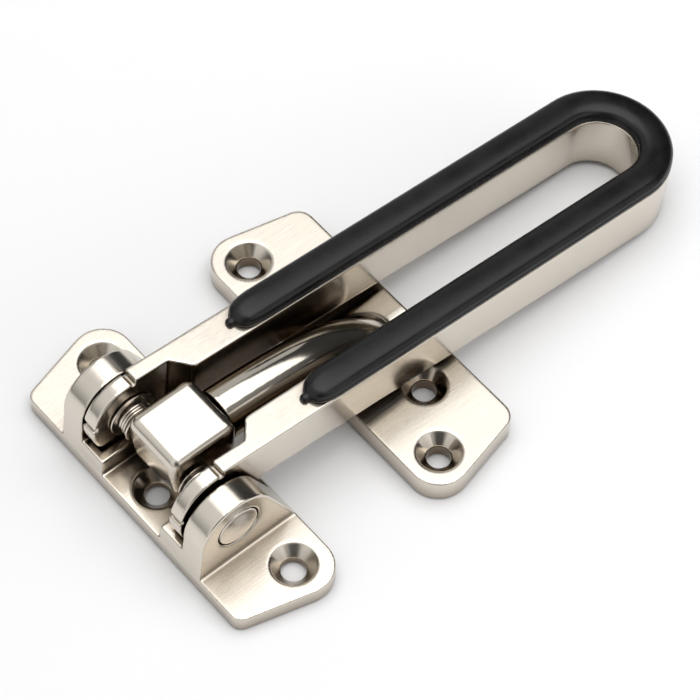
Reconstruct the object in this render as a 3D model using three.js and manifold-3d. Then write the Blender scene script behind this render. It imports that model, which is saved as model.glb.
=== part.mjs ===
// Swing-bar door guard: a hinged U-bar that closes over a cube-headed gooseneck.
// Millimetres, +Z up out of the mounting faces, +X from the hinge to the bar's round end.

import * as THREE from 'three';
import { RoundedBoxGeometry } from 'three/addons/geometries/RoundedBoxGeometry.js';
import { mergeVertices, toCreasedNormals } from 'three/addons/utils/BufferGeometryUtils.js';
import Module from 'manifold-3d';

// The pin axis is X = 0 in the dimensions below; ORIGIN_X moves the whole guard so that
// the middle of its length lies on the frame's origin.
const ORIGIN_X = -59.18;

const PIN_Z = 13.7;
const PIN_HEAD_R = 4.6;
const PIN_HEAD_T = 2.2;
const PIN_SHAFT_R = 2.8;

const BASE_NEAR_X = -10.1;
const BASE_FAR_X = 13.9;
const BASE_T = 4.0;
// Where each plate's slanted end meets its wide and its narrow side, before rounding.
const BASE_ENDS = {
  wideX: BASE_FAR_X, wideY: 39.85, narrowX: BASE_NEAR_X, narrowY: 33.15, narrowRound: 2.6,
};
const WIDE_ROUND = 6.5;
const BASE_HOLE_X = 6.3;
const BASE_HOLE_Y = 30.1;
const BASE_MID_HOLE_X = -3.4;
const EAR_IN_Y = 15.7;
const EAR_OUT_Y = 21.5;
const EAR_R = 8.8;
const EAR_Z = 12.8;
const LEDGE_IN_Y = 9.05;
const LEDGE_Z = 8.0;
const SEAT_IN_Y = 11.4;
const SEAT_R = 9.7;

const BAR_TILT = THREE.MathUtils.degToRad(4.8);
const BAR_HALF_Y = 15.0;
const BAR_TOP_Z = 10.1;
const BAR_END_X = 113.0;
const BAR_UNDER_NEAR_Z = -0.35;
const BAR_UNDER_FAR_Z = -2.7;
const KNUCKLE_R = 9.2;
const KNUCKLE_IN_Y = 11.7;
const WINDOW_END_X = 8.7;
const SLOT_START_X = 12.2;
const SLOT_CORNER = 1.6;
const SLOT_HALF_Y = 7.6;

const STRIP_START_X = 25.2;
const STRIP_MID_Y = 11.35;
const STRIP_HALF_W = 3.6;
const STRIP_H = 3.0;
const STRIP_GAP = 0.1;

const PLATE_NEAR_X = 36.5;
const PLATE_FAR_X = 61.1;
const PLATE_T = 5.5;
const PLATE_ENDS = {
  wideX: PLATE_NEAR_X, wideY: 38.7, narrowX: PLATE_FAR_X, narrowY: 32.9, narrowRound: 3.6,
};
const PLATE_OUTER_HOLE = [43.9, 29.5];
const PLATE_INNER_HOLE = [51.9, 16.0];

const SCREW_R = 2.7;
const SINK_R = 5.0;
const SINK_DEPTH = 2.4;

const CUBE = { x: 3.6, z: 15.0, lengthX: 16.2, widthY: 15.8, heightZ: 13.2, round: 1.8 };
const CUBE_TAPER = 0.05;
const TENON_R = 3.0;
const TENON_END_X = 5.5;

const CREASE = THREE.MathUtils.degToRad(32);

const wasm = await Module();
wasm.setup();

function solid(geometry) {
  const bare = geometry.clone();
  bare.deleteAttribute('normal');
  bare.deleteAttribute('uv');
  const merged = mergeVertices(bare, 1e-4);
  return new wasm.Manifold(new wasm.Mesh({
    numProp: 3,
    vertProperties: new Float32Array(merged.attributes.position.array),
    triVerts: new Uint32Array(merged.index.array),
  }));
}

function geometryOf(body) {
  const mesh = body.getMesh();
  const geometry = new THREE.BufferGeometry();
  geometry.setAttribute('position', new THREE.BufferAttribute(mesh.vertProperties, 3));
  geometry.setIndex(new THREE.BufferAttribute(mesh.triVerts, 1));
  return toCreasedNormals(geometry, CREASE);
}

const union = (bodies) => bodies.reduce((all, body) => all.add(body));
const cut = (body, tools) => tools.reduce((left, tool) => left.subtract(tool), body);

// Closed body through equal-length rings of points, capped at both ends.
function loft(rings) {
  const size = rings[0].length;
  const points = rings.flat();
  const index = [];
  for (let ring = 0; ring < rings.length - 1; ring += 1) {
    for (let i = 0; i < size; i += 1) {
      const a = ring * size + i;
      const b = ring * size + ((i + 1) % size);
      index.push(a, b, a + size, b, b + size, a + size);
    }
  }
  const capEnds = [[0, true], [rings.length - 1, false]];
  for (const [ring, first] of capEnds) {
    const centre = new THREE.Vector3();
    rings[ring].forEach((point) => centre.add(point));
    points.push(centre.divideScalar(size));
    for (let i = 0; i < size; i += 1) {
      const a = ring * size + i;
      const b = ring * size + ((i + 1) % size);
      index.push(...(first ? [b, a, points.length - 1] : [a, b, points.length - 1]));
    }
  }
  const geometry = new THREE.BufferGeometry().setFromPoints(points);
  geometry.setIndex(index);
  return geometry;
}

function prismZ(shape, z0, z1) {
  const geometry = new THREE.ExtrudeGeometry(shape, {
    depth: z1 - z0, bevelEnabled: false, curveSegments: 16,
  });
  return solid(geometry.translate(0, 0, z0));
}

// Extrudes a shape drawn in X (across) and Z (up) along Y.
function prismY(shape, y0, y1) {
  const geometry = new THREE.ExtrudeGeometry(shape, {
    depth: y1 - y0, bevelEnabled: false, curveSegments: 20,
  });
  return solid(geometry.rotateX(Math.PI / 2).translate(0, y1, 0));
}

function cylinderY(radius, x, z, y0, y1) {
  const geometry = new THREE.CylinderGeometry(radius, radius, y1 - y0, 48);
  return solid(geometry.translate(x, (y0 + y1) / 2, z));
}

function box(x0, x1, y0, y1, z0, z1) {
  const geometry = new THREE.BoxGeometry(x1 - x0, y1 - y0, z1 - z0);
  return solid(geometry.translate((x0 + x1) / 2, (y0 + y1) / 2, (z0 + z1) / 2));
}

// Through hole with a countersink, sunk from the face at height top.
function screwHole(x, y, top) {
  const profile = [
    [0, -top - 1], [SCREW_R, -top - 1], [SCREW_R, -SINK_DEPTH],
    [SINK_R, 0], [SINK_R, 1], [0, 1],
  ].map(([r, h]) => new THREE.Vector2(r, h));
  const geometry = new THREE.LatheGeometry(profile, 36);
  return solid(geometry.rotateX(Math.PI / 2).translate(x, y, top));
}

// Outline through [x, y, radius] corners, each rounded by an arc of its own radius.
function roundedShape(corners) {
  const shape = new THREE.Shape();
  corners.forEach(([x, y, radius], i) => {
    const corner = new THREE.Vector2(x, y);
    const before = new THREE.Vector2(...corners.at(i - 1)).sub(corner).normalize();
    const after = new THREE.Vector2(...corners[(i + 1) % corners.length]).sub(corner).normalize();
    const half = Math.acos(before.dot(after)) / 2;
    const reach = radius / Math.tan(half);
    const start = corner.clone().addScaledVector(before, reach);
    const centre = before.clone().add(after).normalize()
      .multiplyScalar(radius / Math.sin(half)).add(corner);
    const end = corner.clone().addScaledVector(after, reach);
    const angleTo = (point) => Math.atan2(point.y - centre.y, point.x - centre.x);
    if (i === 0) shape.moveTo(start.x, start.y);
    else shape.lineTo(start.x, start.y);
    shape.absarc(centre.x, centre.y, radius, angleTo(start), angleTo(end),
      before.cross(after) > 0);
  });
  shape.closePath();
  return shape;
}

function plateShape({ wideX, wideY, narrowX, narrowY, narrowRound }) {
  const corners = [
    [narrowX, -narrowY, narrowRound], [wideX, -wideY, WIDE_ROUND],
    [wideX, wideY, WIDE_ROUND], [narrowX, narrowY, narrowRound],
  ];
  return roundedShape(corners);
}

function earShape() {
  const shape = new THREE.Shape();
  const slope = THREE.MathUtils.degToRad(24);
  shape.moveTo(BASE_NEAR_X, 0);
  shape.lineTo(BASE_NEAR_X, BASE_T);
  shape.lineTo(-EAR_R - 0.25, EAR_Z);
  shape.absarc(-0.25, EAR_Z, EAR_R, Math.PI, slope, true);
  shape.quadraticCurveTo(11.6, 8.2, BASE_FAR_X, BASE_T);
  shape.lineTo(BASE_FAR_X, 0);
  shape.closePath();
  return shape;
}

function hingeBase() {
  const bodies = [prismZ(plateShape(BASE_ENDS), 0, BASE_T)];
  const tools = [screwHole(BASE_MID_HOLE_X, 0, BASE_T)];
  for (const side of [-1, 1]) {
    const span = (a, b) => [Math.min(side * a, side * b), Math.max(side * a, side * b)];
    bodies.push(prismY(earShape(), ...span(EAR_IN_Y, EAR_OUT_Y)));
    const ledge = span(LEDGE_IN_Y, EAR_IN_Y + 0.5);
    const ledgeBlock = box(BASE_NEAR_X, BASE_FAR_X, ...ledge, 0.5, LEDGE_Z);
    bodies.push(ledgeBlock.intersect(prismY(earShape(), ...ledge)));
    tools.push(cylinderY(SEAT_R, 0, PIN_Z, ...span(SEAT_IN_Y, EAR_IN_Y)));
    tools.push(cylinderY(PIN_SHAFT_R + 0.15, 0, PIN_Z, ...span(EAR_IN_Y - 1, EAR_OUT_Y + 1)));
    const headIn = EAR_OUT_Y - PIN_HEAD_T - 0.1;
    tools.push(cylinderY(PIN_HEAD_R + 0.15, 0, PIN_Z, ...span(headIn, EAR_OUT_Y + 1)));
    tools.push(screwHole(BASE_HOLE_X, side * BASE_HOLE_Y, BASE_T));
  }
  return geometryOf(cut(union(bodies), tools));
}

function barSideShape() {
  const shape = new THREE.Shape();
  shape.moveTo(BAR_END_X + BAR_HALF_Y + 1, BAR_TOP_Z);
  shape.lineTo(0.9, BAR_TOP_Z);
  shape.lineTo(0.9, KNUCKLE_R - 0.7);
  shape.lineTo(-0.1, KNUCKLE_R - 0.7);
  shape.absarc(0, 0, KNUCKLE_R, Math.PI / 2, -Math.PI * 0.19, false);
  shape.quadraticCurveTo(9.6, -0.9, 14.5, BAR_UNDER_NEAR_Z);
  shape.lineTo(BAR_END_X + BAR_HALF_Y + 1, BAR_UNDER_FAR_Z);
  shape.closePath();
  return shape;
}

function barPlanShape() {
  const shape = new THREE.Shape();
  shape.moveTo(-KNUCKLE_R - 1, -BAR_HALF_Y);
  shape.lineTo(BAR_END_X, -BAR_HALF_Y);
  shape.absarc(BAR_END_X, 0, BAR_HALF_Y, -Math.PI / 2, Math.PI / 2, false);
  shape.lineTo(-KNUCKLE_R - 1, BAR_HALF_Y);
  shape.lineTo(-KNUCKLE_R - 1, KNUCKLE_IN_Y);
  shape.lineTo(WINDOW_END_X, KNUCKLE_IN_Y);
  shape.lineTo(SLOT_START_X - 0.7 * SLOT_CORNER, SLOT_HALF_Y + 0.8 * SLOT_CORNER);
  shape.quadraticCurveTo(SLOT_START_X, SLOT_HALF_Y, SLOT_START_X + SLOT_CORNER, SLOT_HALF_Y);
  shape.lineTo(BAR_END_X, SLOT_HALF_Y);
  shape.absarc(BAR_END_X, 0, SLOT_HALF_Y, Math.PI / 2, -Math.PI / 2, true);
  shape.lineTo(SLOT_START_X + SLOT_CORNER, -SLOT_HALF_Y);
  shape.quadraticCurveTo(SLOT_START_X, -SLOT_HALF_Y,
    SLOT_START_X - 0.7 * SLOT_CORNER, -SLOT_HALF_Y - 0.8 * SLOT_CORNER);
  shape.lineTo(WINDOW_END_X, -KNUCKLE_IN_Y);
  shape.lineTo(-KNUCKLE_R - 1, -KNUCKLE_IN_Y);
  shape.closePath();
  return shape;
}

function swingBar() {
  const side = prismY(barSideShape(), -BAR_HALF_Y - 1, BAR_HALF_Y + 1);
  const body = side.intersect(prismZ(barPlanShape(), -20, 20));
  const bore = cylinderY(PIN_SHAFT_R + 0.3, 0, 0, -20, 20);
  const notch = box(-KNUCKLE_R - 1, -KNUCKLE_R + 0.8, -20, 20, 0.5, 1.6);
  return geometryOf(cut(body, [bore, notch]));
}

function stripSection(halfWidth, height) {
  const side = [
    [-1.0, 0], [-1.0, 0.42], [-0.95, 0.62], [-0.82, 0.8], [-0.62, 0.92], [-0.34, 0.98],
  ];
  const mirrored = side.map(([across, up]) => [-across, up]).reverse();
  return [...side, [0, 1], ...mirrored].map(([across, up]) => [across * halfWidth, up * height]);
}

// One ring of the strip: at is the path point, angle the heading, both in the bar's plane.
function stripRing(x, y, angle, halfWidth, height) {
  const acrossX = -Math.sin(angle);
  const acrossY = Math.cos(angle);
  const floor = BAR_TOP_Z + STRIP_GAP;
  return stripSection(halfWidth, height).map(([across, up]) => (
    new THREE.Vector3(x + across * acrossX, y + across * acrossY, floor + up)
  ));
}

function bumperStrip() {
  const tip = [
    [-2.2, 0.5, 0.9], [-1.3, 0.9, 1.1], [-0.9, 0.8, 1.0], [-0.5, 1.5, 1.4], [0.5, 2.6, 2.3],
    [2.0, 3.2, 2.8], [4.4, STRIP_HALF_W, STRIP_H],
  ];
  const out = tip.map(([along, halfWidth, height]) => (
    stripRing(STRIP_START_X + along, STRIP_MID_Y, Math.PI, halfWidth, height)
  ));
  const back = tip.map(([along, halfWidth, height]) => (
    stripRing(STRIP_START_X + along, -STRIP_MID_Y, 0, halfWidth, height)
  )).reverse();
  const bend = [];
  for (let step = 0; step <= 28; step += 1) {
    const angle = Math.PI / 2 - (Math.PI * step) / 28;
    const x = BAR_END_X + STRIP_MID_Y * Math.cos(angle);
    bend.push(stripRing(x, STRIP_MID_Y * Math.sin(angle), angle + Math.PI / 2,
      STRIP_HALF_W, STRIP_H));
  }
  return geometryOf(solid(loft([...out, ...bend, ...back])));
}

// Gooseneck rings: centre x and z, the heading's fall in degrees, half width and half height.
const STEM = [
  [11.9, 14.9, 0, 5.6, 5.6], [20, 14.2, 6, 5.6, 5.6], [28, 13.1, 10, 5.7, 5.6],
  [34, 11.8, 17, 5.8, 5.6], [39.5, 9.7, 27, 6.0, 5.7], [44.5, 6.6, 38, 6.3, 6.0],
  [48.5, 3.2, 46, 6.6, 6.6], [50.6, 1.0, 50, 6.8, 7.0],
];

function stem() {
  const rings = STEM.map(([x, z, fall, halfY, halfZ]) => {
    const ring = [];
    const lean = THREE.MathUtils.degToRad(fall);
    for (let i = 0; i < 28; i += 1) {
      const angle = (2 * Math.PI * i) / 28;
      const up = halfZ * Math.sin(angle);
      ring.push(new THREE.Vector3(
        x + up * Math.sin(lean), halfY * Math.cos(angle), z + up * Math.cos(lean),
      ));
    }
    return ring;
  });
  return solid(loft(rings));
}

function knobPlate() {
  const plate = prismZ(plateShape(PLATE_ENDS), 0, PLATE_T);
  const tenon = new THREE.CylinderGeometry(TENON_R, TENON_R, 8, 32).rotateZ(Math.PI / 2);
  const arm = union([stem(), solid(tenon.translate(TENON_END_X + 4, 0, CUBE.z))]);
  const keepAbove = arm.intersect(box(0, PLATE_FAR_X, -12, 12, 0.3, 30));
  const holes = [];
  for (const [x, y] of [PLATE_OUTER_HOLE, PLATE_INNER_HOLE]) {
    holes.push(screwHole(x, y, PLATE_T), screwHole(x, -y, PLATE_T));
  }
  return geometryOf(cut(plate, holes).add(keepAbove));
}

// Narrows a body towards its underside by the cube's taper.
function tapered(geometry) {
  const places = geometry.attributes.position;
  for (let i = 0; i < places.count; i += 1) {
    const narrow = 1 - CUBE_TAPER * (1 - (2 * places.getZ(i)) / CUBE.heightZ);
    places.setXY(i, places.getX(i) * narrow, places.getY(i) * narrow);
  }
  return geometry;
}

function cubeHead() {
  const { lengthX, widthY, heightZ, round } = CUBE;
  const block = solid(tapered(new RoundedBoxGeometry(lengthX, widthY, heightZ, 5, round)));
  const boss = new RoundedBoxGeometry(4.4, 4.6, 4, 3, 0.8).translate(-4.3, 4.4, -5.2);
  const socket = new THREE.CylinderGeometry(TENON_R + 0.15, TENON_R + 0.15, 12, 32);
  const socketAt = TENON_END_X - 0.4 - CUBE.x + 6;
  return geometryOf(
    block.add(solid(boss)).subtract(solid(socket.rotateZ(Math.PI / 2).translate(socketAt, 0, 0))),
  );
}

// The pin pieces lie along +Y from the pin's axis point; the right-hand set is turned round.
const RETAINER = { y0: 8.1, y1: 8.5, radius: 4.1 };
const SPRING = { y0: 9.05, y1: 10.6, wire: 0.29, radius: 3.5, turns: 2.5 };
const WASHER = { y0: 11.1, y1: 11.5, radius: 5.3 };

function lathe(profile) {
  const points = profile.map(([r, y]) => new THREE.Vector2(r, y));
  return new THREE.LatheGeometry(points, 48);
}

function hingePin() {
  const headIn = EAR_OUT_Y - PIN_HEAD_T;
  const tipR = PIN_SHAFT_R - 0.8;
  return geometryOf(solid(lathe([
    [0, RETAINER.y0 - 0.15], [tipR - 0.3, RETAINER.y0 - 0.15], [tipR, RETAINER.y0],
    [tipR, RETAINER.y1 + 0.1], [PIN_SHAFT_R, RETAINER.y1 + 0.1], [PIN_SHAFT_R, headIn],
    [PIN_HEAD_R, headIn], [PIN_HEAD_R, EAR_OUT_Y - 0.25], [PIN_HEAD_R - 0.25, EAR_OUT_Y],
    [0, EAR_OUT_Y],
  ])));
}

function ringWasher({ y0, y1, radius }, bore) {
  return geometryOf(solid(lathe([
    [bore, y0], [radius - 0.15, y0], [radius, y0 + 0.15],
    [radius, y1 - 0.15], [radius - 0.15, y1], [bore, y1], [bore, y0],
  ])));
}

function coilSpring() {
  const rings = [];
  const steps = 64;
  for (let step = 0; step <= steps; step += 1) {
    const turn = (2 * Math.PI * SPRING.turns * step) / steps;
    const y = SPRING.y0 + ((SPRING.y1 - SPRING.y0) * step) / steps;
    const ring = [];
    for (let i = 0; i < 8; i += 1) {
      const angle = (2 * Math.PI * i) / 8;
      const r = SPRING.radius + SPRING.wire * Math.cos(angle);
      ring.push(new THREE.Vector3(
        r * Math.cos(turn), y + SPRING.wire * Math.sin(angle), r * Math.sin(turn),
      ));
    }
    rings.push(ring);
  }
  return geometryOf(solid(loft(rings)));
}

const FINISH = {
  nickel: { color: 0xcfc9bf, roughness: 0.32, metalness: 1 },
  steel: { color: 0xb9b5ae, roughness: 0.25, metalness: 1 },
  rubber: { color: 0x1b1b1d, roughness: 0.55, metalness: 0 },
};

function part(name, geometry, finish) {
  const mesh = new THREE.Mesh(geometry, new THREE.MeshStandardMaterial(FINISH[finish]));
  mesh.name = name;
  return mesh;
}

function pinSet(sideName, turn) {
  const set = new THREE.Group();
  set.name = `pin_set_${sideName}`;
  set.position.set(0, 0, PIN_Z);
  set.rotation.z = turn;
  set.add(
    part(`hinge_pin_${sideName}`, hingePin(), 'steel'),
    part(`pin_retainer_${sideName}`, ringWasher(RETAINER, PIN_SHAFT_R - 0.7), 'steel'),
    part(`coil_spring_${sideName}`, coilSpring(), 'steel'),
    part(`thrust_washer_${sideName}`, ringWasher(WASHER, PIN_SHAFT_R + 0.15), 'steel'),
  );
  return set;
}

const swing = new THREE.Group();
swing.name = 'swing_assembly';
swing.position.z = PIN_Z;
swing.rotation.y = BAR_TILT;
swing.add(
  part('swing_bar', swingBar(), 'nickel'),
  part('bumper_strip', bumperStrip(), 'rubber'),
);

const head = part('cube_head', cubeHead(), 'nickel');
head.position.set(CUBE.x, 0, CUBE.z);

const guard = new THREE.Group();
guard.name = 'door_guard';
guard.position.x = ORIGIN_X;
guard.add(
  part('hinge_base', hingeBase(), 'nickel'),
  swing,
  pinSet('left', 0),
  pinSet('right', Math.PI),
  part('knob_plate', knobPlate(), 'nickel'),
  head,
);

export default guard;
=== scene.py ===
"""Looks of the swing-bar door guard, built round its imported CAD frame.

Cast pieces are signed-distance shapes in millimetres, meshed by surface nets, so every edge and
foot has the small round of a casting. Turned, wound and swept pieces are ring meshes.
"""

import math

import bmesh
import bpy
import numpy as np
from mathutils import Matrix, Vector

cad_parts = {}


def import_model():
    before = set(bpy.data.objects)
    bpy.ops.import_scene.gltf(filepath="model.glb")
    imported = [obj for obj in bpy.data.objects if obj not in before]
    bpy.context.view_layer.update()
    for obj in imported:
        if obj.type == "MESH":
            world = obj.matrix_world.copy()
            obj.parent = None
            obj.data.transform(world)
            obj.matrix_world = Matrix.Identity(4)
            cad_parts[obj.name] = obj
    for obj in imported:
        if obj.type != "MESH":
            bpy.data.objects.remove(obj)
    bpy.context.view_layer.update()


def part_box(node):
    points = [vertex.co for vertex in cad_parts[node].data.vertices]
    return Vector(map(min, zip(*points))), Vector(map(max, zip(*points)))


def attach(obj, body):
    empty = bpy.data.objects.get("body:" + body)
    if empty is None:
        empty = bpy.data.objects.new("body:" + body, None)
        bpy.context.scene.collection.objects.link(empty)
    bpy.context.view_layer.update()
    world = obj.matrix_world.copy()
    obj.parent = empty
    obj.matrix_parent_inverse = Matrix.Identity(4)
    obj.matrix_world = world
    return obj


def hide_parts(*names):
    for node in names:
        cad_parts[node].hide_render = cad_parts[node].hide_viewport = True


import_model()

# ---------------------------------------------------------------- sizes
# Drawing millimetres: the pin axis is at x 0 and the mounting faces are at z 0. A span is the
# box that a casting is meshed in.

MM = 0.001
MESH_STEP = 0.28
PIN_Z = 13.7
TILT = math.radians(4.8)
WIDE_ROUND = 6.5

# A screw hole's radii, and how deep its sink goes.
BORE_R = 2.5
SINK_R = 4.8
SINK_DEPTH = 2.4

# The base: a flange between its near and far sides, with its ends slanting from wide to narrow.
BASE_T = 4.0
BASE_NEAR = -10.1
BASE_FAR = 13.9
BASE_WIDE_Y = 39.85
BASE_NARROW_Y = 33.15
BASE_NARROW_ROUND = 2.6
BASE_HOLES = ((6.3, 30.1), (6.3, -30.1), (-3.4, 0))
SHIFT_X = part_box("hinge_base")[0][0] / MM - BASE_NEAR

# An ear: a round top that runs down to the flange's far side in a slope.
EAR_IN = 15.7
EAR_OUT = 21.5
EAR_R = 8.8
EAR_X = -0.25
EAR_Z = 12.8
EAR_SLOPE = math.radians(24)
EAR_FOOT = [(11.0, 10.0), (12.6, 6.9)]
EAR_INSET = 0.1
LEDGE_CENTRE = (1.9, 12.7, 4.25)
LEDGE_SIZE = (23.8, 7.3, 7.5)
SEAT_R = 9.7
SEAT_Y = 13.55
SEAT_HALF = 2.15
PIN_BORE_R = 2.95
HEAD_BORE_R = 4.85
HEAD_BORE_IN = 19.2
BASE_SPAN = ((BASE_NEAR, -37.8, 0), (BASE_FAR, 37.8, 21.6))

# The bar in its own frame: the pin at the origin and its top face level.
BAR_END = 113.0
BAR_HALF = 15.0
BAR_TOP = 10.1
SLOT_HALF = 7.6
SLOT_FROM = 14
WINDOW_FROM = -14
KNUCKLE_IN = 11.7
KNUCKLE_R = 9.2
KNUCKLE_BORE_R = 3.1
# How far below level the underside leaves the knuckle's round.
KNUCKLE_LEAVES = math.pi * 0.19
# The window's slanted side, rounded where it enters the slot.
WINDOW_NECK = [(8.7, KNUCKLE_IN), (11.1, 8.9), (11.7, 8.1), (12.4, 7.72), (13.8, SLOT_HALF)]
BAR_STEP = [(-0.1, 8.5), (0.9, 8.5), (0.9, BAR_TOP)]
BAR_PAST = 130
BAR_UNDER = [(BAR_PAST, -2.75), (14.5, -0.35), (11.2, -0.75), (9.2, -2.6)]
NOTCH_TO_X = -8.4
NOTCH_Z = (0.5, 1.6)
BAR_SPAN = ((-9.3, -BAR_HALF, -9.3), (128, BAR_HALF, BAR_TOP))

# The knob plate, and its neck's stations: x, z and radius.
PLATE_T = 5.5
PLATE_NEAR = 36.5
PLATE_FAR = 61.1
PLATE_WIDE_Y = 38.7
PLATE_NARROW_Y = 32.9
PLATE_NARROW_ROUND = 3.6
PLATE_HOLES = ((43.9, 29.5), (43.9, -29.5), (51.9, 16.0), (51.9, -16.0))
STEM = [(11.9, 14.9, 5.6), (20, 14.2, 5.6), (28, 13.1, 5.65), (34, 11.8, 5.7), (39.5, 9.7, 5.9),
        (44.5, 6.6, 6.2), (48.5, 3.2, 6.6), (51.5, 0.2, 6.9)]
STEM_POINTS = 60
STEM_LOWEST = 0.4
TENON_R = 3.0
TENON_X = (5.5, 14)
PLATE_SPAN = ((5, -37, 0), (PLATE_FAR, 37, 21))

# The cube on the tenon: narrower below, its top a little crowned and its sides a little swollen.
CUBE = (3.6, 0, 15.0)
CUBE_SIZE = (16.2, 15.8, 13.2)
CUBE_ROUND = 2.1
CUBE_RISE = 6.6
CUBE_TAPER = 0.05
CUBE_CROWN = 0.1
CUBE_SWELL = 0.4
LIP = (-0.7, 4.4, 9.8)
LIP_SIZE = (4.4, 4.6, 4.0)
SOCKET_R = 3.15
SOCKET_FROM = 5.1
CUBE_SPAN = ((-4.5, -8, 7.5), (11.8, 8, 21.8))

# The bumper strip: where its arms start, how far out it runs, and its half width and height.
STRIP_START = 25.2
STRIP_MID = 11.35
STRIP_HALF = 3.6
STRIP_H = 3.0
STRIP_LIFT = 0.05
STRIP_STRAIGHT = np.linspace(34, 108, 38)
# A tip, from its nib to the full section: distance past the start, half width and height.
STRIP_TIP = [(-2.2, 0.3, 0.6), (-2.0, 0.75, 1.0), (-1.5, 0.95, 1.2), (-1.0, 0.8, 1.1),
             (-0.7, 1.1, 1.3), (-0.3, 1.9, 1.8), (0.4, 2.6, 2.3), (1.6, 3.15, 2.7),
             (3.2, 3.45, 2.9), (5.2, STRIP_HALF, STRIP_H)]

# The turned pieces: radius and y of each corner, from the inner end out.
PIN_PROFILE = [(0.01, 7.95), (1.7, 7.95), (2.0, 8.1), (2.0, 8.6), (2.8, 8.6), (2.8, 19.3),
               (4.6, 19.3), (4.6, 21.2), (4.52, 21.38), (4.35, 21.47), (4.1, 21.5),
               (1.2, 21.5), (0.01, 21.5)]
RETAINER = {"y0": 8.1, "y1": 8.5, "bore": 2.1, "radius": 4.1}
WASHER = {"y0": 11.1, "y1": 11.5, "bore": 2.95, "radius": 5.3}
WASHER_EDGE = 0.12
SPRING = {"y0": 9.05, "y1": 10.6, "turns": 2.5, "radius": 3.5, "wire": 0.3}
SHARP_FROM = math.radians(40)


# ---------------------------------------------------------------- distance shapes


def smooth_min(a, b, k):
    """Union of two distances, with a fillet about k wide."""
    h = np.clip(0.5 + 0.5 * (b - a) / k, 0, 1)
    return b + (a - b) * h - k * h * (1 - h)


def smooth_max(a, b, k):
    """What two distances share, with its edge rounded about k wide."""
    return -smooth_min(-a, -b, k)


def extruded(flat, across, half, edge):
    """A flat distance given thickness 2 half along across, with its edges rounded by edge."""
    wx = flat + edge
    wy = np.abs(across) - half + edge
    outside = np.hypot(np.maximum(wx, 0), np.maximum(wy, 0))
    return np.minimum(np.maximum(wx, wy), 0) + outside - edge


def polygon(x, y, corners):
    """Signed distance to a closed outline given by its corners."""
    pts = np.array(corners, float)
    distance = np.full(np.broadcast(x, y).shape, 1e9)
    sign = np.ones(distance.shape)
    for a, b in zip(pts, np.roll(pts, 1, axis=0)):
        edge = b - a
        wx, wy = x - a[0], y - a[1]
        t = np.clip((wx * edge[0] + wy * edge[1]) / (edge @ edge), 0, 1)
        distance = np.minimum(distance, (wx - edge[0] * t) ** 2 + (wy - edge[1] * t) ** 2)
        above, below, left = y >= a[1], y < b[1], edge[0] * wy > edge[1] * wx
        turn = (above & below & left) | ~(above | below | left)
        sign = np.where(turn, -sign, sign)
    return sign * np.sqrt(distance)


def rounded_outline(corners, per_arc=14):
    """Points of a closed outline of (x, y, radius) corners, each rounded by an arc."""
    spots = np.array([c[:2] for c in corners], float)
    points = []
    for i, (corner, (_, _, radius)) in enumerate(zip(spots, corners)):
        before, after = spots[i - 1] - corner, spots[(i + 1) % len(spots)] - corner
        before, after = before / np.hypot(*before), after / np.hypot(*after)
        half = math.acos(before @ after) / 2
        middle = (before + after) / np.hypot(*(before + after))
        centre = corner + middle * radius / math.sin(half)
        start, end = (corner + v * radius / math.tan(half) - centre for v in (before, after))
        a0, a1 = (math.atan2(v[1], v[0]) for v in (start, end))
        turn = (a1 - a0 + math.pi) % (2 * math.pi) - math.pi
        for f in np.linspace(0, 1, per_arc):
            a = a0 + turn * f
            points.append(centre + radius * np.array([math.cos(a), math.sin(a)]))
    return points


def rounded_box(p, centre, size, radius):
    """Distance to a box with all its edges rounded."""
    q = [np.abs(p[i] - centre[i]) - size[i] / 2 + radius for i in range(3)]
    outside = np.sqrt(sum(np.maximum(c, 0) ** 2 for c in q))
    return outside + np.minimum(np.maximum(np.maximum(q[0], q[1]), q[2]), 0) - radius


def screw_hole(p, x, y, top):
    """Distance to a countersunk hole, to be taken away."""
    r = np.hypot(p[0] - x, p[1] - y)
    slope = (SINK_R - BORE_R) / SINK_DEPTH
    cone = (r - SINK_R - (p[2] - top) * slope) / math.hypot(1, slope)
    return np.minimum(r - BORE_R, smooth_max(cone, r - SINK_R - 0.6, 0.3))


def y_cylinder(p, x, z, radius):
    """Distance to an endless cylinder along y."""
    return np.hypot(p[0] - x, p[2] - z) - radius


# ---------------------------------------------------------------- meshes


def crossings(field, axis):
    """Where the field changes sign along an axis: the grid points, places and ways of it."""
    a = np.take(field, range(field.shape[axis] - 1), axis)
    b = np.take(field, range(1, field.shape[axis]), axis)
    at = np.argwhere((a < 0) != (b < 0))
    va, vb = a[tuple(at.T)].astype(float), b[tuple(at.T)].astype(float)
    place = at.astype(float)
    place[:, axis] += va / (va - vb)
    return at, place, va < 0


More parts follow.
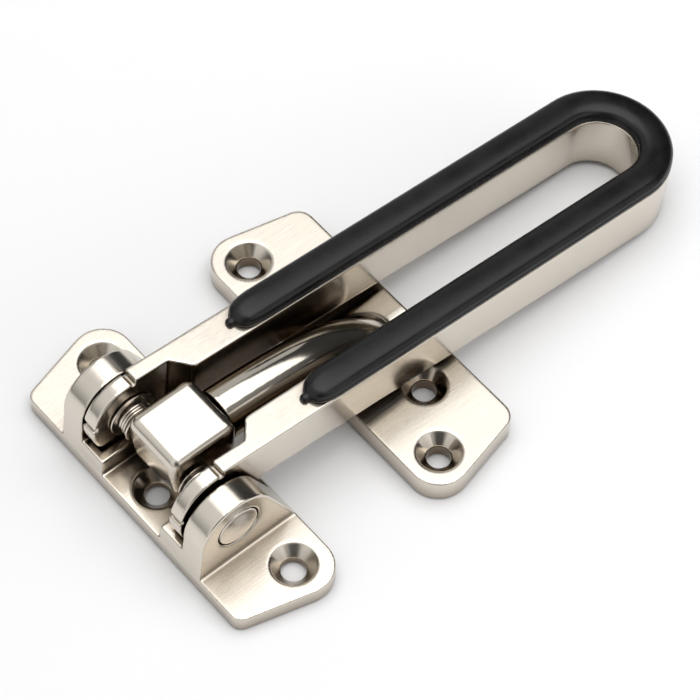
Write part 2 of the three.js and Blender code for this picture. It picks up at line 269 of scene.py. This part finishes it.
def surface_nets(low, high, step, shape):
    """Meshes the zero surface of shape(p) over a box: one point per cell it crosses."""
    axes = [np.arange(low[i] - 2 * step, high[i] + 2 * step, step) for i in range(3)]
    field = np.broadcast_to(shape(np.ix_(*axes)), [len(a) for a in axes]).astype(np.float32)
    cells = np.array(field.shape) - 1
    strides = np.array([cells[1] * cells[2], cells[2], 1])
    total = np.zeros((int(np.prod(cells)), 3))
    count = np.zeros(len(total))
    quads = []
    for axis in range(3):
        at, place, leaving = crossings(field, axis)
        u, v = (axis + 1) % 3, (axis + 2) % 3
        around = []
        for du, dv in ((0, 0), (1, 0), (1, 1), (0, 1)):
            cell = at.copy()
            cell[:, u] -= du
            cell[:, v] -= dv
            flat = cell @ strides
            for i in range(3):
                total[:, i] += np.bincount(flat, place[:, i], len(total))
            count += np.bincount(flat, minlength=len(count))
            around.append(flat)
        ring = np.stack(around, 1)
        quads.append(np.where(leaving[:, None], ring, ring[:, ::-1]))
    used = np.flatnonzero(count)
    number = np.full(len(count), -1)
    number[used] = np.arange(len(used))
    first = np.array([a[0] for a in axes])
    return total[used] / count[used, None] * step + first, number[np.concatenate(quads)]


def add_mesh(name, points, faces):
    """A smooth-shaded object from points in drawing millimetres."""
    mesh = bpy.data.meshes.new(name)
    moved = (np.asarray(points, float) + [SHIFT_X, 0, 0]) * MM
    mesh.from_pydata(moved.tolist(), [], [list(map(int, f)) for f in faces])
    mesh.polygons.foreach_set("use_smooth", [True] * len(mesh.polygons))
    mesh.validate()
    obj = bpy.data.objects.new(name, mesh)
    bpy.context.collection.objects.link(obj)
    return obj


def cast(name, span, step, shape):
    """A cast piece, meshed from its distance shape within a span."""
    return add_mesh(name, *surface_nets(*span, step, shape))


def rings_mesh(rings, closed_loop=False):
    """Points and faces through equal rings, with capped ends unless the rings close."""
    size = len(rings[0])
    points = [tuple(p) for ring in rings for p in ring]
    faces = []
    last = len(rings) if closed_loop else len(rings) - 1
    for r in range(last):
        for i in range(size):
            j, s = (i + 1) % size, (r + 1) % len(rings)
            faces.append((r * size + i, r * size + j, s * size + j, s * size + i))
    if not closed_loop:
        faces.append(tuple(range(size))[::-1])
        faces.append(tuple(range((len(rings) - 1) * size, len(rings) * size)))
    return points, faces


def outward(obj):
    """Turns all faces outward."""
    bm = bmesh.new()
    bm.from_mesh(obj.data)
    bmesh.ops.recalc_face_normals(bm, faces=bm.faces)
    bm.to_mesh(obj.data)
    bm.free()
    return obj


# ---------------------------------------------------------------- the cast pieces


def plate_outline(wide_x, wide_y, narrow_x, narrow_y, narrow_round):
    """A mounting plate whose ends slant from the wide side to the narrow one."""
    half = [(wide_x, wide_y, WIDE_ROUND), (narrow_x, narrow_y, narrow_round)]
    return rounded_outline(half + [(x, -y, radius) for x, y, radius in reversed(half)])


def ear_profile():
    """An ear seen along the pin, from the near foot over the round top to the far foot."""
    near, far = BASE_NEAR + EAR_INSET, BASE_FAR - EAR_INSET
    top = [(EAR_X + EAR_R * math.cos(a), EAR_Z + EAR_R * math.sin(a))
           for a in np.linspace(math.pi, EAR_SLOPE, 40)]
    return [(near, 1.0), (near, BASE_T)] + top + EAR_FOOT + [(far, BASE_T), (far, 1.0)]


def hinge_base(p):
    """The base: the flange, two ears, the ledges inside them, the knuckle seats and holes."""
    x, y, z = p
    ay = np.abs(y)
    outline = plate_outline(BASE_FAR, BASE_WIDE_Y, BASE_NEAR, BASE_NARROW_Y, BASE_NARROW_ROUND)
    flange = extruded(polygon(x, y, outline), z - BASE_T / 2, BASE_T / 2, 0.25)
    side = polygon(x, z, ear_profile())
    ears = extruded(side, ay - (EAR_IN + EAR_OUT) / 2, (EAR_OUT - EAR_IN) / 2, 0.3)
    ledge = rounded_box((x, ay, z), LEDGE_CENTRE, LEDGE_SIZE, 0.3)
    ledge = smooth_max(ledge, side, 0.4)
    body = smooth_min(smooth_min(flange, ears, 0.2), ledge, 0.3)
    seat = np.maximum(y_cylinder(p, 0, PIN_Z, SEAT_R), np.abs(ay - SEAT_Y) - SEAT_HALF)
    body = smooth_max(body, -seat, 0.3)
    for hole_x, hole_y in BASE_HOLES:
        body = smooth_max(body, -screw_hole(p, hole_x, hole_y, BASE_T), 0.25)
    bore = np.maximum(y_cylinder(p, 0, PIN_Z, PIN_BORE_R), EAR_IN - 1 - ay)
    head = np.maximum(y_cylinder(p, 0, PIN_Z, HEAD_BORE_R), HEAD_BORE_IN - ay)
    return smooth_max(smooth_max(body, -bore, 0.15), -head, 0.35)


def long_round(x, ay, half):
    """Distance to a strip 2 half wide along x that ends round at the bar's end."""
    return np.where(x > BAR_END, np.hypot(x - BAR_END, ay), ay) - half


def bar_plan(x, ay):
    """The bar seen from above: its round-ended outline less the window and the slot."""
    inside_slot = SLOT_FROM + 2
    window = polygon(x, ay, [(WINDOW_FROM, 0), (WINDOW_FROM, KNUCKLE_IN)] + WINDOW_NECK
                     + [(inside_slot, SLOT_HALF), (inside_slot, 0)])
    slot = np.maximum(long_round(x, ay, SLOT_HALF), SLOT_FROM - x)
    return smooth_max(long_round(x, ay, BAR_HALF), -np.minimum(window, slot), 0.3)


def bar_side(x, z):
    """The bar seen along the pin: the knuckle's round, the step on top and the underside."""
    knuckle = [(KNUCKLE_R * math.cos(a), -KNUCKLE_R * math.sin(a))
               for a in np.linspace(KNUCKLE_LEAVES, 1.5 * math.pi - 0.011, 60)]
    return polygon(x, z, knuckle + BAR_STEP + [(BAR_PAST, BAR_TOP)] + BAR_UNDER)


def swing_bar(p):
    """The bar in its own frame, with the pin's bore and a small notch in its knuckles."""
    x, y, z = p
    body = smooth_max(bar_plan(x, np.abs(y)), bar_side(x, z), 0.15)
    notch = np.maximum(np.maximum(x - NOTCH_TO_X, NOTCH_Z[0] - z), z - NOTCH_Z[1])
    bore = y_cylinder(p, 0, 0, KNUCKLE_BORE_R)
    return smooth_max(smooth_max(body, -notch, 0.2), -bore, 0.15)


def stem_line():
    """The neck's centreline and radius, smoothed between its stations."""
    stations = np.array(STEM)
    fine = np.empty((STEM_POINTS, 3))
    padded = np.vstack([2 * stations[0] - stations[1], stations, 2 * stations[-1] - stations[-2]])
    for row, value in enumerate(np.linspace(0, len(stations) - 1, STEM_POINTS)):
        i = min(int(value), len(stations) - 2)
        f = value - i
        a, b, c, d = padded[i:i + 4]
        fine[row] = 0.5 * (2 * b + (c - a) * f + (2 * a - 5 * b + 4 * c - d) * f * f
                           + (3 * b - a - 3 * c + d) * f ** 3)
    return fine


def neck(p):
    """Distance to the neck: round about its centreline, by the nearest station's radius."""
    x, y, z = p
    flat = np.full(np.broadcast(x, z).shape, 1e9)
    radius = np.zeros_like(flat)
    line = stem_line()
    for a, b in zip(line, line[1:]):
        edge = b - a
        t = np.clip(((x - a[0]) * edge[0] + (z - a[1]) * edge[1]) / (edge[:2] @ edge[:2]), 0, 1)
        d = np.hypot(x - a[0] - edge[0] * t, z - a[1] - edge[1] * t)
        nearer = d < flat
        flat = np.where(nearer, d, flat)
        radius = np.where(nearer, a[2] + edge[2] * t, radius)
    return np.hypot(flat, y) - radius


def knob_plate(p):
    """The knob's plate with its four holes, its neck, and the tenon that holds the cube."""
    x, y, z = p
    outline = plate_outline(PLATE_NEAR, PLATE_WIDE_Y, PLATE_FAR, PLATE_NARROW_Y,
                            PLATE_NARROW_ROUND)
    plate = extruded(polygon(x, y, outline), z - PLATE_T / 2, PLATE_T / 2, 0.25)
    arm = np.maximum(np.maximum(neck(p), STEM_LOWEST - z), STEM[0][0] - x)
    body = smooth_min(plate, arm, 0.4)
    for hole_x, hole_y in PLATE_HOLES:
        body = smooth_max(body, -screw_hole(p, hole_x, hole_y, PLATE_T), 0.25)
    ends = np.maximum(TENON_X[0] - x, x - TENON_X[1])
    return np.minimum(body, np.maximum(np.hypot(y, z - CUBE[2]) - TENON_R, ends))


def cube_head(p):
    """The cube, with the small lip below it and the socket for the neck's tenon."""
    x, y, z = p
    middle_x, _, middle_z = CUBE
    rise = (z - middle_z) / CUBE_RISE
    narrow = 1 - CUBE_TAPER * (1 - rise)
    crown = CUBE_CROWN * (((x - middle_x) / 8) ** 2 + (y / 7.8) ** 2) * np.clip(rise, 0, 1)
    swell = CUBE_SWELL * rise ** 2
    shaped = (middle_x + (x - middle_x) / narrow + np.sign(x - middle_x) * swell,
              y / narrow + np.sign(y) * swell, z + crown)
    block = rounded_box(shaped, CUBE, CUBE_SIZE, CUBE_ROUND)
    lip = rounded_box(p, LIP, LIP_SIZE, 0.8)
    socket = np.maximum(np.hypot(y, z - middle_z) - SOCKET_R, SOCKET_FROM - x)
    return smooth_max(smooth_min(block, lip, 0.4), -socket, 0.2)


# ---------------------------------------------------------------- the swept pieces


def strip_section(half, height, count=20):
    """A domed section: flat below, upright sides and a low crown."""
    section = [(half, 0), (half, 0.3 * height)]
    for a in np.linspace(0, math.pi, count):
        c, s = math.cos(a), math.sin(a)
        across = math.copysign(abs(c) ** 0.75, c)
        section.append((half * across, height * (0.3 + 0.7 * s ** 0.8)))
    return section + [(-half, 0.3 * height), (-half, 0)]


def strip_path():
    """The strip's stations along one arm, round the end and back: x, y, heading and section."""
    full = (STRIP_HALF, STRIP_H)
    path = [(STRIP_START + s, STRIP_MID, math.pi, half, height) for s, half, height in STRIP_TIP]
    path += [(x, STRIP_MID, math.pi, *full) for x in STRIP_STRAIGHT]
    for a in np.linspace(math.pi / 2, -math.pi / 2, 60):
        at = (BAR_END + STRIP_MID * math.cos(a), STRIP_MID * math.sin(a))
        path.append((*at, a + math.pi / 2, *full))
    path += [(x, -STRIP_MID, 0, *full) for x in STRIP_STRAIGHT[::-1]]
    path += [(STRIP_START + s, -STRIP_MID, 0, half, height)
             for s, half, height in reversed(STRIP_TIP)]
    return path


def bumper_strip():
    """The strip's points and faces, lying on the bar's top."""
    rings = []
    for x, y, heading, half, height in strip_path():
        ax, ay = -math.sin(heading), math.cos(heading)
        rings.append([(x + a * ax, y + a * ay, BAR_TOP + STRIP_LIFT + up)
                      for a, up in strip_section(half, height)])
    return rings_mesh(rings)


def lathe(profile, count=96):
    """A closed ring mesh turned about +Y through the pin axis."""
    rings = []
    for a in np.linspace(0, 2 * math.pi, count, endpoint=False):
        rings.append([(r * math.cos(a), y, PIN_Z + r * math.sin(a)) for r, y in profile])
    return rings_mesh(rings, closed_loop=True)


def coil(y0, y1, turns, radius, wire, per_turn=64, around=12):
    """A wire wound about the pin axis from y0 to y1."""
    rings = []
    steps = int(turns * per_turn)
    for i in range(steps + 1):
        t = 2 * math.pi * turns * i / steps
        y = y0 + (y1 - y0) * i / steps
        rings.append([((radius + wire * math.cos(a)) * math.cos(t), y + wire * math.sin(a),
                       PIN_Z + (radius + wire * math.cos(a)) * math.sin(t))
                      for a in np.linspace(0, 2 * math.pi, around, endpoint=False)])
    return rings_mesh(rings)


def mirrored(points, side):
    """The pin pieces of the right-hand side: turned half a turn about the vertical."""
    return [(side * x, side * y, z) for x, y, z in points]


def ring_profile(y0, y1, bore, radius):
    """A flat ring's section, with its outer corners bevelled."""
    edge = WASHER_EDGE
    return [(bore, y0), (radius - edge, y0), (radius, y0 + edge), (radius, y1 - edge),
            (radius - edge, y1), (bore, y1)]


# ---------------------------------------------------------------- materials


NICKEL = (0.70, 0.645, 0.565)
STEEL = (0.68, 0.63, 0.565)
RUBBER = (0.006, 0.006, 0.0065)
RUBBER_DEEP = (0.004, 0.004, 0.0045)
RUBBER_DUSTY = (0.008, 0.008, 0.008)
# Painted shade in recesses: how far the occlusion looks, and the darkest tone it multiplies the
# colour by.
PAINTED_SHADE_REACH = 8 * MM
PAINTED_SHADE_TONE = (0.25, 0.20, 0.15)
BUMP_DEPTH = 0.02 * MM
# Where the polish fades into the brushing: how far out along y, and how far below a plate's top.
NECK_EDGE = (7.2 * MM, 8.6 * MM)
EAR_EDGE = (21.4 * MM, 21.7 * MM)
BELOW_TOP = (0.5, 0.15)


def new_material(name, color, metallic, roughness):
    """A material with its tree and its Principled BSDF."""
    mat = bpy.data.materials.new(name)
    mat.use_nodes = True
    tree = mat.node_tree
    bsdf = tree.nodes["Principled BSDF"]
    bsdf.inputs["Base Color"].default_value = (*color, 1)
    bsdf.inputs["Metallic"].default_value = metallic
    bsdf.inputs["Roughness"].default_value = roughness
    return mat, tree, bsdf


def node(tree, kind, **inputs):
    """A new node with some inputs set; an underscore stands for a space in a name."""
    made = tree.nodes.new(kind)
    for key, value in inputs.items():
        made.inputs[key.replace("_", " ")].default_value = value
    return made


def scaled_noise(tree, stretch, scale, detail=3.0, rough=0.5):
    """Noise in object space, stretched by a scale per axis."""
    coords = tree.nodes.new("ShaderNodeTexCoord")
    mapping = node(tree, "ShaderNodeMapping", Scale=stretch)
    noise = node(tree, "ShaderNodeTexNoise", Scale=scale, Detail=detail, Roughness=rough)
    tree.links.new(coords.outputs["Object"], mapping.inputs["Vector"])
    tree.links.new(mapping.outputs["Vector"], noise.inputs["Vector"])
    return noise.outputs["Fac"]


def ramp(tree, value, stops):
    """Colors over a value, from (value, color) stops."""
    made = tree.nodes.new("ShaderNodeValToRGB")
    elements = made.color_ramp.elements
    while len(elements) < len(stops):
        elements.new(0.5)
    for element, (at, color) in zip(elements, stops):
        element.position = at
        element.color = (*color, 1)
    tree.links.new(value, made.inputs["Fac"])
    return made.outputs["Color"]


def map_range(tree, value, low, high, from_low=0.3, from_high=0.7):
    """The value, from one range to another and clamped to it."""
    inputs = {"From Min": from_low, "From Max": from_high, "To Min": low, "To Max": high}
    made = node(tree, "ShaderNodeMapRange", **inputs)
    tree.links.new(value, made.inputs["Value"])
    return made.outputs["Result"]


def math_node(tree, operation, a, b=None):
    """A math node on one or two values, each a number or a socket."""
    made = tree.nodes.new("ShaderNodeMath")
    made.operation = operation
    for socket, value in zip(made.inputs, (a, b)):
        if isinstance(value, (int, float)):
            socket.default_value = value
        elif value is not None:
            tree.links.new(value, socket)
    return made.outputs["Value"]


def add_bump(tree, bsdf, height, strength):
    """Bumps the surface by a height socket."""
    bump = node(tree, "ShaderNodeBump", Strength=strength, Distance=BUMP_DEPTH)
    tree.links.new(height, bump.inputs["Height"])
    tree.links.new(bump.outputs["Normal"], bsdf.inputs["Normal"])


def position(tree):
    """Object-space x, y, z sockets, in metres."""
    coords = tree.nodes.new("ShaderNodeTexCoord")
    parts = tree.nodes.new("ShaderNodeSeparateXYZ")
    tree.links.new(coords.outputs["Object"], parts.inputs["Vector"])
    return parts.outputs


def paint_recess_shade(tree, color):
    """The color with painted shade: darkened by ambient occlusion where the piece or its
    neighbours close a place in.
    """
    shade = tree.nodes.new("ShaderNodeAmbientOcclusion")
    shade.samples = 6
    shade.inputs["Distance"].default_value = PAINTED_SHADE_REACH
    tone = ramp(tree, shade.outputs["AO"], [(0.3, PAINTED_SHADE_TONE), (0.85, (1, 1, 1))])
    mix = tree.nodes.new("ShaderNodeMix")
    mix.data_type, mix.blend_type = "RGBA", "MULTIPLY"
    factor, first, second = mix.inputs[0], mix.inputs[6], mix.inputs[7]
    factor.default_value = 1.0
    tree.links.new(color, first)
    tree.links.new(tone, second)
    return mix.outputs[2]


def blend(tree, plain, polished, mask):
    """The plain value, and the polished one where the mask is 1."""
    keep = math_node(tree, "SUBTRACT", 1.0, mask)
    return math_node(tree, "ADD", math_node(tree, "MULTIPLY", plain, keep),
                     math_node(tree, "MULTIPLY", polished, mask))


def brushed_nickel(name, satin, brush_strength, polish=None, polished=0.0):
    """Nickel plate brushed along x. polish(tree) gives a mask that is 1 where it is polished."""
    mat, tree, bsdf = new_material(name, NICKEL, 1.0, satin)
    lines = scaled_noise(tree, (0.02, 1, 1), 5600, 2.0, 0.6)
    long_lines = scaled_noise(tree, (0.01, 1, 1), 1300, 2.0, 0.6)
    cloud = scaled_noise(tree, (1, 1, 1), 60)
    tint = ramp(tree, cloud, [(0.3, [c * 0.95 for c in NICKEL]), (0.7, NICKEL)])
    # Base colour: the nickel's random tone, with painted shade in recesses, crevices and near the
    # floor.
    tree.links.new(paint_recess_shade(tree, tint), bsdf.inputs["Base Color"])
    rough = map_range(tree, lines, satin - 0.04, satin + 0.07)
    brush = math_node(tree, "ADD", lines, math_node(tree, "MULTIPLY", long_lines, 0.3))
    if polish:
        mask = polish(tree)
        smooth = map_range(tree, cloud, polished - 0.02, polished + 0.03)
        rings = scaled_noise(tree, (0.02, 1, 0.02), 4600, 2.0, 0.6)
        rough = blend(tree, rough, smooth, mask)
        brush = blend(tree, brush, math_node(tree, "MULTIPLY", rings, 0.7), mask)
    tree.links.new(rough, bsdf.inputs["Roughness"])
    add_bump(tree, bsdf, brush, brush_strength)
    return mat


def polish_mask(tree, edge, top, in_sinks):
    """1 nearer the middle than an edge along y, and in_sinks below a plate's top."""
    _, y, z = position(tree)
    middle = map_range(tree, math_node(tree, "ABSOLUTE", y), 1, 0, *edge)
    below = map_range(tree, z, 1, 0, *[(top - depth) * MM for depth in BELOW_TOP])
    return math_node(tree, "MAXIMUM", middle, math_node(tree, "MULTIPLY", below, in_sinks))


def neck_polish(tree):
    """The neck and the screw sinks are polished; the plate's flat is brushed."""
    return polish_mask(tree, NECK_EDGE, PLATE_T, 0.8)


def ear_polish(tree):
    """The ears, the ledges and the pocket are polished; the flanges are brushed."""
    return polish_mask(tree, EAR_EDGE, BASE_T, 0.7)


def black_rubber():
    """Soft black rubber: nearly even, with a fine grain."""
    mat, tree, bsdf = new_material("black_rubber", RUBBER, 0.0, 0.27)
    bsdf.inputs["Specular IOR Level"].default_value = 0.34
    grain = scaled_noise(tree, (1, 1, 1), 2600)
    dust = scaled_noise(tree, (1, 1, 1), 180, 4.0)
    tint = ramp(tree, dust, [(0.35, RUBBER_DEEP), (0.7, RUBBER_DUSTY)])
    tree.links.new(tint, bsdf.inputs["Base Color"])
    tree.links.new(map_range(tree, dust, 0.24, 0.31), bsdf.inputs["Roughness"])
    add_bump(tree, bsdf, grain, 0.12)
    return mat


def turned_steel(name, rough):
    """Bare steel with faint turning lines."""
    mat, tree, bsdf = new_material(name, STEEL, 1.0, rough)
    lines = scaled_noise(tree, (1, 0.3, 1), 900, 2.0)
    tree.links.new(map_range(tree, lines, rough - 0.04, rough + 0.06), bsdf.inputs["Roughness"])
    add_bump(tree, bsdf, lines, 0.04)
    return mat


# ---------------------------------------------------------------- assembly


def finish_piece(obj, body, node_name, material):
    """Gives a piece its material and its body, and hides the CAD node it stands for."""
    obj.data.materials.append(material)
    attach(obj, body)
    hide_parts(node_name)
    return obj


def tilt_into_place(obj):
    """Moves a piece modelled in the bar's own frame to its rest place on the pin."""
    pin = Vector((SHIFT_X * MM, 0, PIN_Z * MM))
    turn = Matrix.Rotation(TILT, 4, "Y")
    obj.data.transform(Matrix.Translation(pin) @ turn @ Matrix.Translation((-pin.x, 0, 0)))
    return obj


def base_piece():
    """The hinge base."""
    metal = brushed_nickel("satin_nickel_base", 0.27, 0.5, ear_polish, 0.19)
    base = cast("hinge_base_casting", BASE_SPAN, MESH_STEP, hinge_base)
    finish_piece(base, "fixed", "hinge_base", metal)


def bar_pieces():
    """The bar and the bumper strip on it."""
    metal = brushed_nickel("satin_nickel_bar", 0.17, 0.2)
    bar = tilt_into_place(cast("swing_bar_casting", BAR_SPAN, MESH_STEP, swing_bar))
    finish_piece(bar, "bar", "swing_bar", metal)
    strip = outward(add_mesh("bumper_strip_moulding", *bumper_strip()))
    finish_piece(tilt_into_place(strip), "bar", "bumper_strip", black_rubber())


def knob_pieces():
    """The knob's plate with its neck, and the cube on it, meshed finer."""
    metal = brushed_nickel("satin_nickel_plate", 0.28, 0.5, neck_polish, 0.10)
    plate = cast("knob_plate_casting", PLATE_SPAN, MESH_STEP, knob_plate)
    finish_piece(plate, "fixed", "knob_plate", metal)
    metal = brushed_nickel("polished_nickel_cube", 0.18, 0.08)
    cube = cast("cube_head_casting", CUBE_SPAN, MESH_STEP * 0.8, cube_head)
    finish_piece(cube, "fixed", "cube_head", metal)


def pin_pieces():
    """A pin, retainer, spring and washer on each side."""
    pin_metal = turned_steel("pin_steel", 0.20)
    spring_metal = turned_steel("spring_steel", 0.14)
    for side_name, side in (("left", 1), ("right", -1)):
        for (points, faces), cad, metal in (
            (lathe(PIN_PROFILE), "hinge_pin", pin_metal),
            (lathe(ring_profile(**RETAINER)), "pin_retainer", pin_metal),
            (coil(**SPRING), "coil_spring", spring_metal),
            (lathe(ring_profile(**WASHER)), "thrust_washer", pin_metal),
        ):
            made = add_mesh(f"{cad}_{side_name}_turned", mirrored(points, side), faces)
            made.data.set_sharp_from_angle(angle=SHARP_FROM)
            finish_piece(outward(made), "fixed", f"{cad}_{side_name}", metal)


# ---------------------------------------------------------------- stage

LENS = 155.5
SENSOR = 36
CAMERA_AT = (-175.8, -248.85, 511.4)
CAMERA_RIGHT = (0.7627, -0.6466, 0.0163)
CAMERA_UP = (0.5334, 0.6430, 0.5495)

# Name, direction, distance, size and radiance of each softbox, and if the metal mirrors it.
LIGHTS = (
    ("key_box", (0.17, 0.06, 0.98), 0.9, (1.0, 0.92), 1.75, True),
    ("side_panel", (0.25, 0.85, 0.45), 1.2, (1.3, 0.8), 0.5, True),
    ("front_panel", (0.40, -0.85, 0.40), 1.2, (1.1, 0.7), 0.8, True),
    ("overhead_fill", (0.1, 0.1, 1.0), 1.2, (2.0, 2.0), 0.2, False),
    ("end_fill", (0.8, -0.45, 0.5), 1.2, (1.4, 1.4), 0.55, False),
    ("low_fill", (0.1, -0.95, 0.3), 1.2, (1.6, 0.6), 1.1, False),
)

FLOOR_HALF = 3.0
FLOOR_DROP = 0.2 * MM
FLOOR_COLOR = (0.83, 0.83, 0.835)

# The sky's gray level, from square to its lightest direction up to straight at it.
SKY_LIGHTEST = (-0.55, -0.22, 0.80)
SKY_LEVELS = ((0.0, 0.04), (0.15, 0.05), (0.45, 0.30), (0.75, 0.85), (1.0, 0.95))
SKY_DARKEST = (-0.57, -0.63, 0.52)


def camera():
    """A long lens from the hinge end, high over the near side."""
    cam = bpy.data.cameras.new("camera")
    cam.sensor_width = SENSOR
    cam.lens = LENS
    cam.clip_start, cam.clip_end = 0.05, 10
    right = Vector(CAMERA_RIGHT).normalized()
    back = right.cross(Vector(CAMERA_UP)).normalized()
    turn = Matrix((right, back.cross(right), back)).transposed().to_4x4()
    x, y, z = CAMERA_AT
    obj = bpy.data.objects.new("camera", cam)
    obj.matrix_world = Matrix.Translation(Vector((x + SHIFT_X, y, z)) * MM) @ turn
    bpy.context.collection.objects.link(obj)
    bpy.context.scene.camera = obj


def area_light(name, direction, distance, size, radiance, mirrored_by_metal):
    """A softbox facing the object from a direction; one that isn't mirrored only fills."""
    data = bpy.data.lights.new(name, "AREA")
    data.shape = "RECTANGLE"
    data.size, data.size_y = size
    data.energy = radiance * math.pi * size[0] * size[1]
    obj = bpy.data.objects.new(name, data)
    obj.location = Vector(direction).normalized() * distance
    obj.rotation_euler = Vector(direction).to_track_quat("Z", "Y").to_euler()
    obj.visible_glossy = mirrored_by_metal
    bpy.context.collection.objects.link(obj)


def floor():
    """A plain pale floor just under the mounting faces."""
    size = FLOOR_HALF
    mesh = bpy.data.meshes.new("floor")
    corners = [(-size, -size, 0), (size, -size, 0), (size, size, 0), (-size, size, 0)]
    mesh.from_pydata(corners, [], [(0, 1, 2, 3)])
    obj = bpy.data.objects.new("floor", mesh)
    obj.location.z = -FLOOR_DROP
    bpy.context.collection.objects.link(obj)
    mat, _, bsdf = new_material("floor", FLOOR_COLOR, 0.0, 0.9)
    bsdf.inputs["Specular IOR Level"].default_value = 0.1
    obj.data.materials.append(mat)


def facing(tree, direction):
    """How far the sky lies towards a direction: 1 straight at it, 0 square to it."""
    coords = tree.nodes.new("ShaderNodeTexCoord")
    dot = tree.nodes.new("ShaderNodeVectorMath")
    dot.operation = "DOT_PRODUCT"
    dot.inputs[1].default_value = Vector(direction).normalized()
    tree.links.new(coords.outputs["Generated"], dot.inputs[0])
    return dot.outputs["Value"]


def world():
    """A studio that is light on the hinge side, dark beyond the bar and darkest at its front."""
    made = bpy.data.worlds.new("studio")
    made.use_nodes = True
    tree = made.node_tree
    background = tree.nodes["Background"]
    grays = [(at, (level, level, level)) for at, level in SKY_LEVELS]
    tree.links.new(ramp(tree, facing(tree, SKY_LIGHTEST), grays), background.inputs["Color"])
    strength = map_range(tree, facing(tree, SKY_DARKEST), 1, 0.12, 0.86, 0.97)
    tree.links.new(strength, background.inputs["Strength"])
    bpy.context.scene.world = made


base_piece()
bar_pieces()
knob_pieces()
pin_pieces()
camera()
floor()
world()
for light in LIGHTS:
    area_light(*light)
bpy.context.scene.view_settings.view_transform = "Standard"
